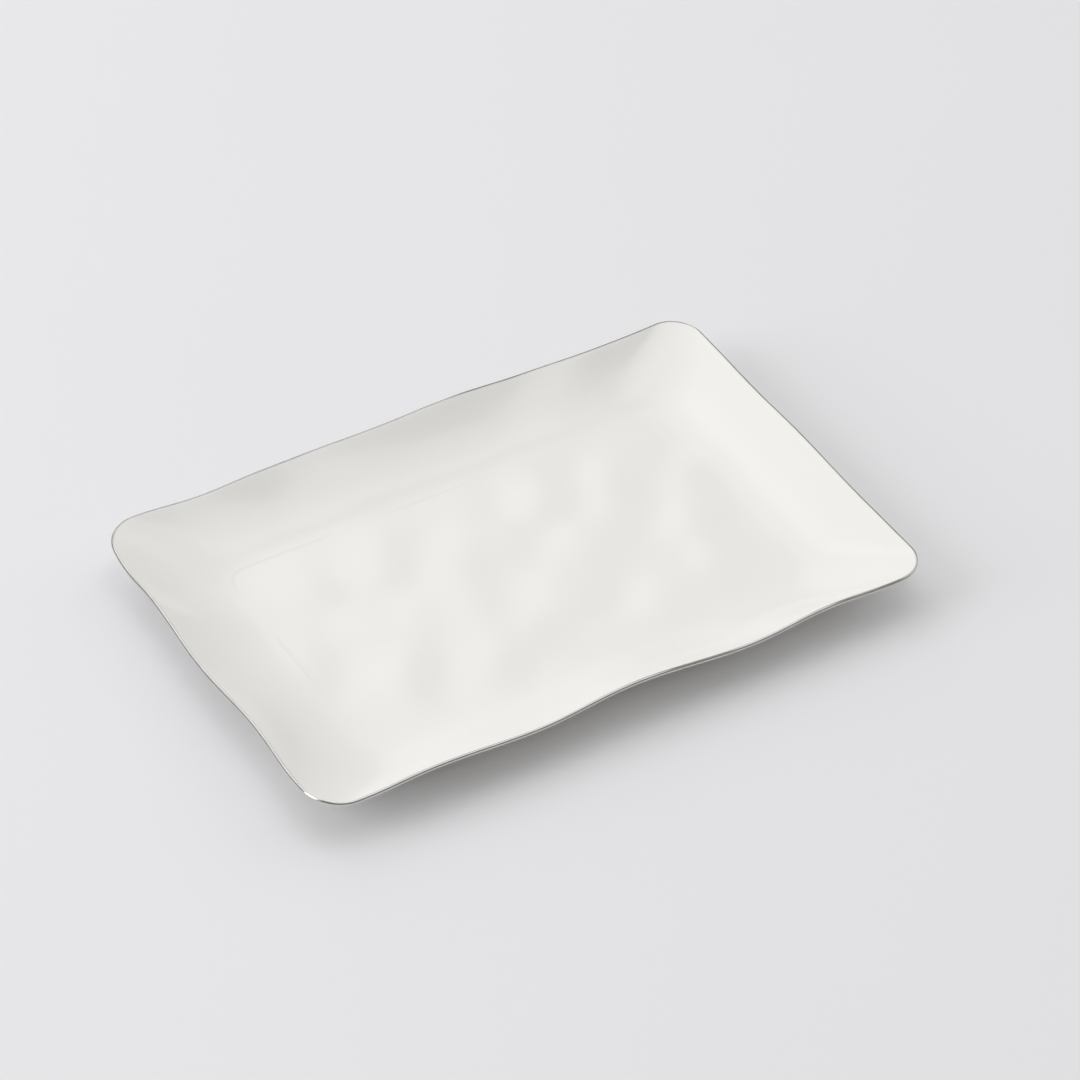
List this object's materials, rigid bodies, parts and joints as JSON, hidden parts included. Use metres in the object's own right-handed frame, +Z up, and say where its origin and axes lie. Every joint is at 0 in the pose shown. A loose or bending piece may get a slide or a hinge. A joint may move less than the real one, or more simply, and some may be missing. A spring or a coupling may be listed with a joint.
{
  "type": "serving platter",
  "caption": "Shallow rectangular porcelain serving platter with rounded corners, a flared, hand-waved rim, a silver-coloured metal edge band and a low unglazed foot ring.",
  "frame": {"origin": "on the surface the platter stands on, under the middle of its overall box", "axes": "+X along the platter's length, +Y across its width towards the back, +Z up"},
  "size_m": [0.452, 0.31, 0.0346],
  "materials": {
    "white_glaze": "clear glossy glaze over warm white porcelain, faintly dimpled",
    "fired_silver_lustre": "bright fired-on silver-coloured metal, brushed on by hand",
    "unglazed_bisque": "bare fired porcelain, ground flat and matt"
  },
  "bodies": {
    "root": {"porcelain_body": "white_glaze", "silver_rim_band": "fired_silver_lustre", "foot_ring": "unglazed_bisque"}
  },
  "joints": []
}
